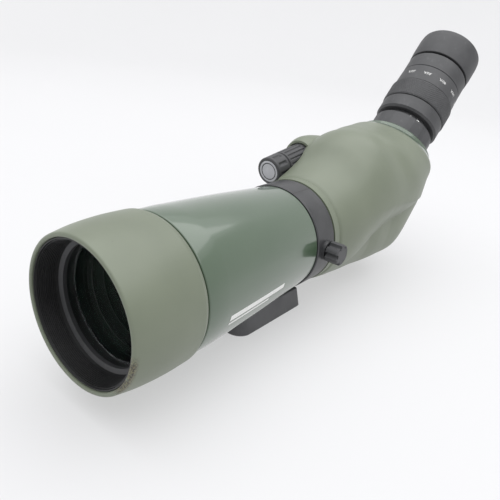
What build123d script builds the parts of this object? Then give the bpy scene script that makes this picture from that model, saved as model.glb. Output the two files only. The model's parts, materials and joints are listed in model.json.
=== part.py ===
"""Angled zoom spotting scope on a rotating tripod collar, as separate fitted pieces.

+X is the user's left, +Y runs rearwards along the optical axis, +Z is up. The origin is the mouth of
the tripod socket, in the middle of the foot's bottom face. Stations are distances along an axis: on
the optical axis they start at the sunshade's rim, on the eyepiece axis where it crosses the optical
axis, and on the focus axis at the front face of the fine knob.
"""
import os
from math import asin, cos, radians, sin

from build123d import *

# ---- clearances
RUN = 0.05              # radial running fit of a turned or sliding pair
LOOSE = 0.3             # gap between pieces that pass each other without guiding
FACE_GAP = 0.4          # end gap between a turning piece and its neighbour

# ---- objective end
HOOD_LENGTH = 46.2      # sunshade, rim to rear edge
HOOD_RIM_R = 41.0
HOOD_BELLY_R = 43.8     # fattest part of the sunshade's rubber
HOOD_REAR_R = 42.2
HOOD_SLEEVE_WALL = 1.3
SIGHT_RIB_ANGLE = 15.0  # above the level of the optical axis
SIGHT_RIB_WIDTH = 8.5
FELT_DEPTH = 0.8
BARREL_R = 38.4         # objective barrel, outside
BARREL_WALL = 3.0
BARREL_LENGTH = 62.0
BARREL_SETBACK = 1.2    # barrel's front edge behind the sunshade's rim
BARREL_MOUTH_R = 37.7   # the bore opens out to this ahead of the lens
RIB_PITCH = 0.9         # glare-stopping ribs
RIB_HEIGHT = 0.35
BAFFLES = ((31.0, 30.5), (36.8, 28.0))  # station and opening radius
LENS_R = 34.0           # objective elements; 65 mm is left clear
OBJECTIVE_CLEAR_R = 32.9
LENS_SEAT = 17.2        # station of the front element's edge
LENS_LAND = 1.2         # flat rim around each polished surface

# ---- main tube and collar
HOOD_GAP = 1.0
TUBE_LENGTH = 109.3
TUBE_FRONT_R = 41.9
TUBE_REAR_R = 35.7
TUBE_WALL = 2.2
JOURNAL_R = 31.5        # the tube's rear neck, on which the collar turns
JOURNAL_WALL = 2.3
COLLAR_WIDTH = 20.0
COLLAR_R = 36.6
LINER_WALL = 1.0
LOCK_ANGLE = 3.4        # lock knob's direction above +X
LOCK_SCREW_R = 2.5
LOCK_KNOB_R = 7.2
LOCK_KNOB_LENGTH = 9.6

# ---- foot
AXIS_HEIGHT = 57.0      # optical axis above the foot's bottom
FOOT_WIDTH = 32.0
FOOT_HEIGHT = 14.5
FOOT_AHEAD = 53.8       # foot ahead of the collar's middle
FOOT_BEHIND = 18.6      # and behind it, clear of the focus knobs
FOOT_TOE_R = 11.0
FOOT_HEEL_R = 5.0
FOOT_SIDE_SLOPE = 15.0
PEDESTAL_WIDTH = 20.0
PEDESTAL_LENGTH = 17.0
PAD_DEPTH = 2.5         # the pedestal's seat in the foot's top
FOOT_SCREW_R = 2.5
FOOT_SCREW_SPACING = 9.0
TRIPOD_THREAD_R = 3.175  # 1/4-20 tripod screw
TRIPOD_BUSH_WALL = 1.9
TRIPOD_BUSH_LENGTH = 9.5
PIN_HOLE_R = 2.25       # anti-rotation pin ahead of the socket
PIN_HOLE_SPACING = 13.1
PIN_HOLE_DEPTH = 6.0

# ---- prism housing
NECK_R = 37.0
NECK_LENGTH = 6.5
SPIGOT_LENGTH = 10.0    # the tube's neck inside the housing
ARMOUR_WALL = 1.4
CASTING_WALL = 2.2
CROSSING = 103.3        # housing front to where the two axes cross
EYEPIECE_LEAN = 45.0
PORT_STATION = 60.0     # end of the housing along the eyepiece axis
PORT_R = 34.4
PRISM_TOP = 12.0        # prism's apex above the optical axis
PRISM_DROP = 33.0       # entrance face below the optical axis
PRISM_WIDTH = 34.0
PAD_WALL = 0.8          # cork pads between the prism and its cage
NECK_SCREW_R = 1.5
CAGE_WALL = 2.0
CAGE_SCREW_R = 1.5
CAGE_SCREW_CIRCLE = 23.5

# ---- focus drive
FOCUS_X = -32.0
FOCUS_RISE = 33.4       # above the optical axis, at the fine knob's face
FOCUS_SETBACK = 8.9     # fine knob's face behind the housing's front
FOCUS_TILT = 8.6
KNOB_R = 10.2
FINE_LENGTH = 14.0
COARSE_LENGTH = 26.5
KNOB_RECESS = 1.0       # radial room around the knobs
SPINDLE_R = 2.5
SCREW_R = 3.0
SCREW_TIP_R = 1.8
BALL_R = 2.0
CARRIAGE_TRAVEL = 7.0
CARRIAGE_LENGTH = 10.0
FOCUS_LENS_R = 15.0
ROD_R = 1.6
ROD_X = 23.0
ROD_DROP = 10.0

# ---- zoom eyepiece
NOSE_R = 15.875         # 1.25 inch eyepiece barrel
NOSE_WALL = 1.2
PORT_NECK_R = 21.0
LOCK_COLLAR_R = 26.8
LOCK_COLLAR_LENGTH = 16.0
FLANGE_R = 22.5
BODY_R = 22.0
BODY_WALL = 2.4
BASE_RING_R = 28.2
BASE_RING_LENGTH = 13.0
GRIP_LENGTH = 17.6
NUMBER_LENGTH = 16.0
UPPER_RING_LENGTH = 14.4
UPPER_RING_R = 27.3
ZOOM_WALL = 3.9
ZOOM_GRIP_R = 29.0
GUIDE_R = 20.5          # helicoid guide at the eye end
HELICOID_WALL = 2.9
EYECUP_R = 28.2
CUP_GAP = 2.2
EYECUP_LENGTH = 29.4
EYE_LENS_R = 13.5
ZOOM_LENS_R = 12.0

# ---- stations on the optical axis
tube_front = HOOD_LENGTH + HOOD_GAP
tube_shoulder = tube_front + TUBE_LENGTH
collar_front = tube_shoulder + FACE_GAP
collar_rear = collar_front + COLLAR_WIDTH
collar_middle = (collar_front + collar_rear) / 2
housing_front = collar_rear + FACE_GAP
foot_front = collar_middle - FOOT_AHEAD
foot_rear = collar_middle + FOOT_BEHIND
socket_station = (foot_front + foot_rear) / 2
crossing_station = housing_front + CROSSING

# ---- derived radii
liner_bore = JOURNAL_R + RUN
collar_bore = liner_bore + LINER_WALL
sleeve_bore = BARREL_R + LOOSE
sleeve_r = sleeve_bore + HOOD_SLEEVE_WALL
barrel_bore = BARREL_R - BARREL_WALL
knob_recess_r = KNOB_R + KNOB_RECESS
zoom_bore = BODY_R + RUN
zoom_r = zoom_bore + ZOOM_WALL


def point(x, station, rise=0.0):
    """A place from its side offset, its station on the optical axis and its rise above that axis."""
    return Vector(x, station - socket_station, AXIS_HEIGHT + rise)


def heading(lean):
    """Direction in the middle plane that leans up from +Y."""
    return Vector(0, cos(radians(lean)), sin(radians(lean)))


# A frame's own X runs along its axis and its own Y is the radius that is drawn.
MAIN = Plane(origin=point(0, 0), x_dir=heading(0), z_dir=(1, 0, 0))
EYE = Plane(origin=point(0, crossing_station), x_dir=heading(EYEPIECE_LEAN), z_dir=(1, 0, 0))
FOCUS = Plane(
    origin=point(FOCUS_X, housing_front + FOCUS_SETBACK, FOCUS_RISE),
    x_dir=heading(FOCUS_TILT),
    z_dir=(1, 0, 0),
)
LOCK = Plane(
    origin=point(0, collar_middle),
    x_dir=(cos(radians(LOCK_ANGLE)), 0, sin(radians(LOCK_ANGLE))),
    z_dir=(0, 1, 0),
)


def turned(frame, outline, mode=Mode.ADD):
    """Revolve a closed outline of (station, radius) corners about a frame's axis."""
    with BuildSketch(frame) as profile:
        with BuildLine():
            Polyline(*outline, close=True)
        make_face()
    revolve(profile.sketch, axis=Axis(frame.origin, frame.x_dir), mode=mode)


def ring(frame, start, stop, inner, outer, mode=Mode.ADD):
    turned(frame, ((start, inner), (stop, inner), (stop, outer), (start, outer)), mode)


def disc(frame, start, stop, radius, mode=Mode.ADD):
    ring(frame, start, stop, 0, radius, mode)


def across(frame, station):
    """Plane square to a frame's axis; its own Y is the frame's radius direction."""
    return Plane(
        origin=frame.origin + frame.x_dir * station, x_dir=-frame.z_dir, z_dir=frame.x_dir
    )


def flutes(frame, start, stop, circle_r, count, size):
    """Cut round grooves that run along a turned piece."""
    with BuildSketch(across(frame, start)) as profile:
        with PolarLocations(circle_r, count):
            Circle(size)
    extrude(profile.sketch, amount=stop - start, mode=Mode.SUBTRACT)


def lens(frame, start, stop, radius, front_bulge, rear_bulge):
    """A lens whose edge spans start to stop; a bulge is positive away from the lens's middle."""
    polished_r = radius - LENS_LAND

    def surface(edge, reach):
        curve_r = (polished_r**2 + reach**2) / (2 * abs(reach))
        half = asin(polished_r / curve_r) / 2
        sagitta = curve_r * (1 - cos(half)) * (1 if reach > 0 else -1)
        middle = (edge + reach - sagitta, curve_r * sin(half))
        ThreePointArc((edge + reach, 0), middle, (edge, polished_r))
        Line((edge, polished_r), (edge, radius))

    with BuildSketch(frame) as profile:
        with BuildLine():
            surface(start, -front_bulge)
            surface(stop, rear_bulge)
            Line((start, radius), (stop, radius))
            Line((start - front_bulge, 0), (stop + rear_bulge, 0))
        make_face()
    revolve(profile.sketch, axis=Axis(frame.origin, frame.x_dir))


# ================================================================ sunshade
sleeve_front = 2.0
sleeve_rear = HOOD_LENGTH - 2.4
with BuildPart() as sunshade_sleeve:
    ring(MAIN, sleeve_front, sleeve_rear, sleeve_bore, sleeve_r)
    felt_front = sleeve_rear - 6.0
    felt_rear = sleeve_rear - 1.2
    felt_r = sleeve_bore + FELT_DEPTH
    ring(MAIN, felt_front, felt_rear, sleeve_bore - 1, felt_r, Mode.SUBTRACT)

with BuildPart() as sunshade_felt:
    ring(MAIN, felt_front, felt_rear, BARREL_R + RUN, felt_r)

with BuildPart() as sunshade_armour:
    with BuildSketch(MAIN):
        with BuildLine():
            lip = (0, HOOD_RIM_R - 1.0)
            shoulder = (1.0, HOOD_RIM_R + 0.2)
            belly = (HOOD_LENGTH * 0.6, HOOD_BELLY_R)
            waist = (HOOD_LENGTH - 3.4, HOOD_BELLY_R - 0.4)
            rear = (HOOD_LENGTH, HOOD_REAR_R)
            ThreePointArc(lip, (0.3, HOOD_RIM_R - 0.2), shoulder)
            Spline(shoulder, (HOOD_LENGTH * 0.28, HOOD_BELLY_R - 0.8), belly, waist)
            Line(waist, rear)
            Polyline(
                rear, (HOOD_LENGTH, sleeve_bore), (sleeve_rear, sleeve_bore), (sleeve_rear, sleeve_r),
                (sleeve_front, sleeve_r), (sleeve_front, sleeve_bore), (0, sleeve_bore), lip,
            )
        make_face()
    revolve(axis=Axis(MAIN.origin, MAIN.x_dir))
    # sighting rib beside the focus knobs
    with BuildSketch(across(MAIN, 3.0)):
        with PolarLocations(HOOD_RIM_R + 1.6, 1, start_angle=SIGHT_RIB_ANGLE):
            RectangleRounded(3.2, SIGHT_RIB_WIDTH, 1.2)
    extrude(amount=HOOD_LENGTH * 0.75)

# ================================================================ objective
barrel_front = BARREL_SETBACK
barrel_rear = BARREL_SETBACK + BARREL_LENGTH
seat_r = LENS_R + 0.1
lens_stack = 10.6
ring_front = LENS_SEAT - 3.4
seat_rear = LENS_SEAT + lens_stack
with BuildPart() as objective_barrel:
    turned(MAIN, (
        (barrel_front, BARREL_MOUTH_R), (ring_front, barrel_bore), (barrel_rear, barrel_bore),
        (barrel_rear, BARREL_R), (barrel_front, BARREL_R),
    ))
    ring(MAIN, LENS_SEAT, seat_rear, seat_r, barrel_bore)
    ring(MAIN, seat_rear, seat_rear + 2.0, OBJECTIVE_CLEAR_R, barrel_bore)
    # fine glare-stopping ribs ahead of the retaining ring
    mouth_cone = (BARREL_MOUTH_R - barrel_bore) / (ring_front - barrel_front)
    for index in range(int((ring_front - barrel_front - 2.0) / RIB_PITCH)):
        rib_front = barrel_front + 1.2 + index * RIB_PITCH
        bore = BARREL_MOUTH_R - mouth_cone * (rib_front - barrel_front)
        ring(MAIN, rib_front, rib_front + RIB_PITCH / 2, bore - RIB_HEIGHT, bore + RIB_HEIGHT)

with BuildPart() as retaining_ring:
    turned(MAIN, (
        (ring_front, barrel_bore), (ring_front + 1.0, OBJECTIVE_CLEAR_R),
        (LENS_SEAT - 0.1, OBJECTIVE_CLEAR_R), (LENS_SEAT - 0.1, barrel_bore),
    ))

with BuildPart() as front_element:
    lens(MAIN, LENS_SEAT, LENS_SEAT + 5.0, LENS_R, 2.4, 2.4)

with BuildPart() as element_spacer:
    ring(MAIN, LENS_SEAT + 5.0, LENS_SEAT + 5.5, OBJECTIVE_CLEAR_R, LENS_R)

with BuildPart() as rear_element:
    lens(MAIN, LENS_SEAT + 5.5, seat_rear, LENS_R, -2.4, 1.0)

with BuildPart() as baffle_rings:
    for station, opening in BAFFLES:
        turned(MAIN, (
            (station, opening), (station + 1.2, opening + 1.2), (station + 1.2, barrel_bore - 1.0),
            (station + 5.0, barrel_bore - 1.0), (station + 5.0, barrel_bore), (station, barrel_bore),
        ))

# ================================================================ main tube
tube_seat = tube_front + 11.0
journal_rear = housing_front + SPIGOT_LENGTH
journal_bore = JOURNAL_R - JOURNAL_WALL
with BuildPart() as main_tube:
    with BuildSketch(MAIN):
        with BuildLine():
            nose = (tube_front, TUBE_FRONT_R - 0.6)
            brow = (tube_front + 1.2, TUBE_FRONT_R)
            straight = (tube_front + 0.13 * TUBE_LENGTH, TUBE_FRONT_R)
            middle = ((straight[0] + tube_shoulder) / 2, (TUBE_FRONT_R + TUBE_REAR_R) / 2 + 0.5)
            shoulder = (tube_shoulder, TUBE_REAR_R)
            Polyline(nose, brow, straight)
            ThreePointArc(straight, middle, shoulder)
            Polyline(
                shoulder, (tube_shoulder, JOURNAL_R), (journal_rear, JOURNAL_R),
                (journal_rear, journal_bore), (tube_shoulder - 2.4, journal_bore),
                (tube_shoulder - 5.0, TUBE_REAR_R - TUBE_WALL),
                (straight[0] + 4.0, TUBE_FRONT_R - TUBE_WALL), (tube_seat, TUBE_FRONT_R - TUBE_WALL),
                (tube_seat, BARREL_R), (tube_front, BARREL_R), nose,
            )
        make_face()
    revolve(axis=Axis(MAIN.origin, MAIN.x_dir))

# ================================================================ collar and foot
lock_hub = COLLAR_R + 2.2


def screw_pair(radius, base, length, mode=Mode.ADD):
    """Two upright cylinders where the foot is screwed to its pedestal."""
    with BuildSketch(Plane.XY.offset(base)) as pair:
        with Locations((0, collar_middle - socket_station)):
            with GridLocations(0, FOOT_SCREW_SPACING, 1, 2):
                Circle(radius)
    extrude(pair.sketch, amount=length, mode=mode)


with BuildPart() as tripod_collar:
    pedestal_foot = FOOT_HEIGHT - PAD_DEPTH
    with BuildSketch(Plane.XY.offset(pedestal_foot)):
        with Locations((0, collar_middle - socket_station)):
            RectangleRounded(PEDESTAL_WIDTH, PEDESTAL_LENGTH, 2.0)
    extrude(amount=AXIS_HEIGHT - pedestal_foot)
    turned(MAIN, (
        (collar_front, 0), (collar_rear, 0), (collar_rear, COLLAR_R - 0.5), (collar_rear - 0.8, COLLAR_R),
        (collar_front + 0.8, COLLAR_R), (collar_front, COLLAR_R - 0.5),
    ))
    disc(LOCK, 0, lock_hub, 6.8)
    disc(MAIN, collar_front, collar_rear, collar_bore, Mode.SUBTRACT)
    disc(LOCK, 0, lock_hub, LOCK_SCREW_R + RUN, Mode.SUBTRACT)
    screw_pair(FOOT_SCREW_R, pedestal_foot, 8.0, Mode.SUBTRACT)

with BuildPart() as collar_liner:
    ring(MAIN, collar_front + 1.0, collar_rear - 1.0, liner_bore, collar_bore)
    disc(LOCK, 0, lock_hub, LOCK_SCREW_R + LOOSE, Mode.SUBTRACT)

foot_length = foot_rear - foot_front
foot_head_r = FOOT_SCREW_R * 1.7
foot_head_depth = 5.0
foot_head_inset = 1.5
with BuildPart() as foot:
    with BuildSketch() as sole:
        Rectangle(FOOT_WIDTH, foot_length)
        fillet(sole.vertices().sort_by(Axis.Y)[:2], FOOT_TOE_R)
        fillet(sole.vertices().sort_by(Axis.Y)[-2:], FOOT_HEEL_R)
    extrude(amount=FOOT_HEIGHT, taper=FOOT_SIDE_SLOPE)
    # the front end's top falls away
    with BuildSketch(MAIN):
        with BuildLine():
            top = FOOT_HEIGHT - AXIS_HEIGHT
            Polyline(
                (foot_front, top + 1), (foot_front, top - 4.5), (foot_front + 6, top - 2.0),
                (foot_front + 24, top), (foot_front + 24, top + 1), close=True,
            )
        make_face()
    extrude(amount=FOOT_WIDTH, both=True, mode=Mode.SUBTRACT)
    fillet(foot.faces().sort_by(Axis.Z)[-1].edges().filter_by(Axis.Y), 1.2)
    chamfer(foot.faces().sort_by(Axis.Z)[0].outer_wire().edges(), 0.8)
    with BuildSketch(Plane.XY.offset(FOOT_HEIGHT - PAD_DEPTH)):
        with Locations((0, collar_middle - socket_station)):
            RectangleRounded(PEDESTAL_WIDTH + 0.2, PEDESTAL_LENGTH + 0.2, 2.1)
    extrude(amount=PAD_DEPTH + 1, mode=Mode.SUBTRACT)
    screw_pair(FOOT_SCREW_R, 0, FOOT_HEIGHT, Mode.SUBTRACT)
    screw_pair(foot_head_r, 0, foot_head_inset + foot_head_depth, Mode.SUBTRACT)
    with BuildSketch():
        Circle(TRIPOD_THREAD_R + TRIPOD_BUSH_WALL)
    extrude(amount=TRIPOD_BUSH_LENGTH, mode=Mode.SUBTRACT)
    with BuildSketch():
        with Locations((0, -PIN_HOLE_SPACING)):
            Circle(PIN_HOLE_R)
    extrude(amount=PIN_HOLE_DEPTH, mode=Mode.SUBTRACT)

with BuildPart() as foot_screws:
    screw_pair(foot_head_r - 0.1, foot_head_inset, foot_head_depth)
    screw_pair(FOOT_SCREW_R, foot_head_inset, pedestal_foot - foot_head_inset + 7.0)
    with BuildSketch(Plane.XY.offset(foot_head_inset)):
        with Locations((0, collar_middle - socket_station)):
            with GridLocations(0, FOOT_SCREW_SPACING, 1, 2):
                RegularPolygon(2.2, 6)
    extrude(amount=2.5, mode=Mode.SUBTRACT)

with BuildPart() as tripod_bush:
    with BuildSketch():
        Circle(TRIPOD_THREAD_R + TRIPOD_BUSH_WALL)
        Circle(TRIPOD_THREAD_R, mode=Mode.SUBTRACT)
    extrude(amount=TRIPOD_BUSH_LENGTH)

knob_start = lock_hub + FACE_GAP
with BuildPart() as lock_screw:
    disc(LOCK, JOURNAL_R + LOOSE, knob_start + 8.0, LOCK_SCREW_R)

with BuildPart() as lock_knob:
    disc(LOCK, knob_start, knob_start + LOCK_KNOB_LENGTH, LOCK_KNOB_R)
    chamfer(lock_knob.edges().filter_by(GeomType.CIRCLE), 0.7)
    flutes(LOCK, knob_start + 2.6, knob_start + LOCK_KNOB_LENGTH, LOCK_KNOB_R + 1.2, 7, 2.3)
    disc(LOCK, knob_start, knob_start + 8.0, LOCK_SCREW_R, Mode.SUBTRACT)

# ================================================================ prism housing
# Each section leans with the elbow: (station, rise of its middle, lean, half width, above, below).
half_lean = EYEPIECE_LEAN / 2


def elbow(reach):
    """Station and rise of a point on the eyepiece axis."""
    lean = radians(EYEPIECE_LEAN)
    return crossing_station + reach * cos(lean), reach * sin(lean)


HOUSING_SECTIONS = (
    (housing_front, 0, 0, NECK_R, NECK_R, NECK_R),
    (housing_front + NECK_LENGTH, 0, 0, NECK_R, NECK_R, NECK_R),
    (housing_front + 0.31 * CROSSING, 0, half_lean * 0.1, NECK_R + 4.5, NECK_R + 10.0, NECK_R + 3.0),
    (housing_front + 0.53 * CROSSING, 0, half_lean * 0.4, NECK_R + 7.0, NECK_R + 21.5, NECK_R + 4.0),
    (housing_front + 0.77 * CROSSING, 0, half_lean * 0.7, NECK_R + 8.5, NECK_R + 30.0, NECK_R + 5.5),
    (crossing_station, 0, half_lean, NECK_R + 9.0, NECK_R + 34.5, NECK_R + 6.0),
    (*elbow(25.0), EYEPIECE_LEAN * 0.8, NECK_R + 8.5, NECK_R + 23.5, NECK_R + 4.0),
    (*elbow(PORT_STATION - 15), EYEPIECE_LEAN * 0.955, PORT_R + 9.4, PORT_R + 13.6, PORT_R + 2.6),
    (*elbow(PORT_STATION - 6), EYEPIECE_LEAN, PORT_R + 6.6, PORT_R + 7.0, PORT_R + 1.6),
    (*elbow(PORT_STATION), EYEPIECE_LEAN, PORT_R, PORT_R, PORT_R),
)
recess_rear = FINE_LENGTH + COARSE_LENGTH + 2.0
# focus cowl: (station behind the housing's front, rise, radius)
COWL_SECTIONS = (
    (46.5, 39.1, 12.9),
    (54.0, 40.2, 14.3),
    (68.0, 38.2, 15.8),
    (86.0, 35.0, 15.5),
    (106.0, 31.0, 10.0),
)


def knob_recess(inset):
    """Hollow in which the focus knobs turn, grown by a wall thickness."""
    disc(FOCUS, -6.0 - inset, recess_rear + inset, knob_recess_r + inset, Mode.SUBTRACT)


def housing_form(inset):
    """The housing's solid outer form with the focus cowl, moved inwards by a wall thickness."""
    with BuildPart() as form:
        for station, rise, lean, half_width, above, below in HOUSING_SECTIONS:
            origin = point(0, station, rise)
            with BuildSketch(Plane(origin=origin, x_dir=(-1, 0, 0), z_dir=heading(lean))):
                with Locations((0, (above - below) / 2)):
                    Ellipse(half_width - inset, (above + below) / 2 - inset)
        loft()
        for setback, rise, radius in COWL_SECTIONS:
            origin = point(FOCUS_X, housing_front + setback, rise)
            with BuildSketch(Plane(origin=origin, x_dir=(-1, 0, 0), z_dir=(0, 1, 0))):
                Circle(radius - inset)
        loft()
        knob_recess(inset)
    return form.part


armour_form = housing_form(0)
casting_form = housing_form(ARMOUR_WALL)
hollow_form = housing_form(ARMOUR_WALL + CASTING_WALL)
bushing_r = SPINDLE_R + RUN + 2.5
bushing_rear = recess_rear + ARMOUR_WALL + CASTING_WALL + 1.0
NECK_SCREWS = [
    Plane(
        origin=point(0, housing_front + SPIGOT_LENGTH / 2),
        x_dir=(cos(radians(angle)), 0, sin(radians(angle))),
        z_dir=(0, 1, 0),
    )
    for angle in (30, 150, 270)
]

with BuildPart() as housing_armour:
    add(armour_form)
    add(casting_form, mode=Mode.SUBTRACT)
    disc(FOCUS, recess_rear - 3, recess_rear + 6, bushing_r + 1.0, Mode.SUBTRACT)

with BuildPart() as prism_housing:
    add(casting_form)
    add(hollow_form, mode=Mode.SUBTRACT)
    ring(MAIN, housing_front, housing_front + SPIGOT_LENGTH + 3.0, journal_bore, NECK_R - ARMOUR_WALL - 0.5)
    disc(MAIN, housing_front, journal_rear, JOURNAL_R, Mode.SUBTRACT)
    knob_recess(ARMOUR_WALL)
    disc(FOCUS, recess_rear - 3, recess_rear + 12, bushing_r, Mode.SUBTRACT)
    for neck_screw in NECK_SCREWS:
        disc(neck_screw, JOURNAL_R, NECK_R, NECK_SCREW_R, Mode.SUBTRACT)

neck_fill_r = NECK_R - ARMOUR_WALL - 0.5
with BuildPart() as neck_screws:
    for neck_screw in NECK_SCREWS:
        disc(neck_screw, JOURNAL_R + 0.1, neck_fill_r - 0.2, NECK_SCREW_R)

with BuildPart() as focus_bushing:
    ring(FOCUS, recess_rear - 1.0, bushing_rear, SPINDLE_R + RUN, bushing_r)

# ================================================================ prism and its cage
prism_front = crossing_station - PRISM_DROP + PRISM_TOP * 2**0.5
prism_leg = PRISM_TOP + PRISM_DROP
prism_heel = (
    prism_front + prism_leg * cos(radians(EYEPIECE_LEAN)),
    PRISM_TOP - prism_leg * sin(radians(EYEPIECE_LEAN)),
)
with BuildPart() as roof_prism:
    with BuildSketch(MAIN):
        with BuildLine():
            Polyline((prism_front, PRISM_TOP), (prism_front, -PRISM_DROP), prism_heel, close=True)
        make_face()
    extrude(amount=PRISM_WIDTH / 2, both=True)
    # the base is a 90 degree roof whose ridge lies in the middle plane
    roof_plane = Plane(origin=point(0, prism_front, -PRISM_DROP), x_dir=(-1, 0, 0), z_dir=heading(half_lean))
    with BuildSketch(roof_plane):
        with BuildLine():
            half = PRISM_WIDTH / 2
            Polyline(
                (0, 0), (half, half), (half, 2 * prism_leg), (-half, 2 * prism_leg), (-half, half),
                close=True,
            )
        make_face()
    extrude(amount=2 * prism_leg, both=True, mode=Mode.INTERSECT)

plate_inner = PRISM_WIDTH / 2 + PAD_WALL
with BuildPart() as prism_pads:
    for side in (-1, 1):
        pad_plane = MAIN.offset(side * PRISM_WIDTH / 2)
        with BuildSketch(pad_plane):
            with Locations((prism_front + 9.0, -3.0)):
                Circle(5.0)
        extrude(amount=side * PAD_WALL)

# the lead screw's line, through the middle of the spindle's ball end
ball_reach = bushing_rear + 2.4
ball_station = housing_front + FOCUS_SETBACK + ball_reach * cos(radians(FOCUS_TILT))
screw_rise = FOCUS_RISE + ball_reach * sin(radians(FOCUS_TILT))
SCREW = Plane(origin=point(FOCUS_X, 0, screw_rise), x_dir=heading(0), z_dir=(1, 0, 0))
plate_front = prism_front - 0.2 - CAGE_WALL
cage_ring = PORT_STATION - 18.0
port_flange = cage_ring + CAGE_WALL
ring_station, ring_rise = elbow(cage_ring)
spread = 14.0 * sin(radians(EYEPIECE_LEAN))
with BuildPart() as prism_cage:
    for side in (-1, 1):
        with BuildSketch(MAIN.offset(side * plate_inner)):
            with BuildLine():
                Polyline(
                    (plate_front, -PRISM_TOP), (plate_front, PRISM_TOP + 4),
                    (ring_station - spread, ring_rise + spread), (ring_station + spread, ring_rise - spread),
                    prism_heel, close=True,
                )
            make_face()
        extrude(amount=side * CAGE_WALL)
    with BuildSketch(across(MAIN, plate_front)):
        RectangleRounded(2 * (ROD_X + 4.5), 44.0, 8.0)
    extrude(amount=CAGE_WALL)
    with BuildSketch(across(MAIN, plate_front)):
        with Locations((12, 14)):
            Circle(5.0)
        with Locations((-FOCUS_X, screw_rise)):
            Circle(4.0)
        make_hull()
    extrude(amount=CAGE_WALL)
    disc(MAIN, plate_front - 1, prism_front, 13.0, Mode.SUBTRACT)
    disc(SCREW, plate_front - 1, prism_front, SCREW_TIP_R + RUN, Mode.SUBTRACT)
    with BuildSketch(across(MAIN, plate_front)):
        with Locations((ROD_X, -ROD_DROP), (-ROD_X, -ROD_DROP)):
            Circle(ROD_R)
    extrude(amount=CAGE_WALL, mode=Mode.SUBTRACT)
    ring(EYE, cage_ring, port_flange, 14.0, 27.0)
    with BuildSketch(across(EYE, cage_ring)):
        with PolarLocations(CAGE_SCREW_CIRCLE, 3):
            Circle(CAGE_SCREW_R)
    extrude(amount=CAGE_WALL, mode=Mode.SUBTRACT)

with BuildPart() as cage_screws:
    with BuildSketch(across(EYE, cage_ring - 2.2)):
        with PolarLocations(CAGE_SCREW_CIRCLE, 3):
            Circle(CAGE_SCREW_R * 1.8)
    extrude(amount=2.2)
    with BuildSketch(across(EYE, cage_ring - 1.0)):
        with PolarLocations(CAGE_SCREW_CIRCLE, 3):
            Circle(CAGE_SCREW_R)
    extrude(amount=1.0 + CAGE_WALL + 4.0)

nose_bore = NOSE_R - NOSE_WALL
port_bore = NOSE_R + RUN
port_face = PORT_STATION + 4.5
port_neck_end = port_face + LOCK_COLLAR_LENGTH
plug_r = PORT_R - ARMOUR_WALL - CASTING_WALL - 0.2
with BuildPart() as eyepiece_port:
    ring(EYE, port_flange, port_flange + 5.0, port_bore, plug_r - 0.5)
    ring(EYE, port_flange, port_neck_end, port_bore, PORT_NECK_R)
    ring(EYE, port_flange, PORT_STATION, plug_r - 2.0, plug_r)
    turned(EYE, (
        (PORT_STATION, port_bore), (PORT_STATION, PORT_R - 0.2), (PORT_STATION + 2.2, PORT_R - 0.5),
        (port_face - 0.4, PORT_R - 2.6), (port_face, PORT_R - 4.4), (port_face, port_bore),
    ))
    with BuildSketch(across(EYE, port_flange)):
        with PolarLocations(CAGE_SCREW_CIRCLE, 3):
            Circle(CAGE_SCREW_R)
    extrude(amount=4.0, mode=Mode.SUBTRACT)

# ================================================================ focus drive
with BuildPart() as fine_knob:
    disc(FOCUS, 0, FINE_LENGTH, KNOB_R)
    chamfer(fine_knob.edges().filter_by(GeomType.CIRCLE), 0.8)
    disc(FOCUS, 0, 1.0, KNOB_R - 2.0, Mode.SUBTRACT)
    disc(FOCUS, 2.2, FINE_LENGTH, SPINDLE_R + RUN, Mode.SUBTRACT)
    flutes(FOCUS, 2.6, FINE_LENGTH - 2.0, KNOB_R + 0.6, 14, 1.35)

with BuildPart() as knob_disc:
    disc(FOCUS, 0.2, 1.0, KNOB_R - 2.1)

coarse_front = FINE_LENGTH + FACE_GAP
with BuildPart() as coarse_knob:
    disc(FOCUS, coarse_front, coarse_front + COARSE_LENGTH, KNOB_R)
    chamfer(coarse_knob.edges().filter_by(GeomType.CIRCLE), 0.8)
    disc(FOCUS, coarse_front, coarse_front + COARSE_LENGTH, SPINDLE_R, Mode.SUBTRACT)
    flutes(FOCUS, coarse_front + 2.0, coarse_front + COARSE_LENGTH - 3.0, KNOB_R + 0.35, 24, 0.9)

with BuildPart() as focus_spindle:
    disc(FOCUS, 2.5, bushing_rear + 0.4, SPINDLE_R)
    disc(FOCUS, bushing_rear, ball_reach, BALL_R * 0.6)
    with BuildSketch(FOCUS) as ball_profile:
        with BuildLine():
            CenterArc((ball_reach, 0), BALL_R, 0, 180)
            Line((ball_reach - BALL_R, 0), (ball_reach + BALL_R, 0))
        make_face()
    revolve(axis=Axis(FOCUS.origin, FOCUS.x_dir))

socket_front = ball_station - BALL_R / 2
socket_rear = ball_station + 5.0
with BuildPart() as lead_screw:
    disc(SCREW, socket_front, socket_rear, BALL_R + 2.0)
    disc(SCREW, socket_front, ball_station + BALL_R + 0.6, BALL_R + RUN, Mode.SUBTRACT)
    disc(SCREW, socket_rear, plate_front - 0.2, SCREW_R)
    disc(SCREW, plate_front - 0.2, prism_front - 0.4, SCREW_TIP_R)

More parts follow.
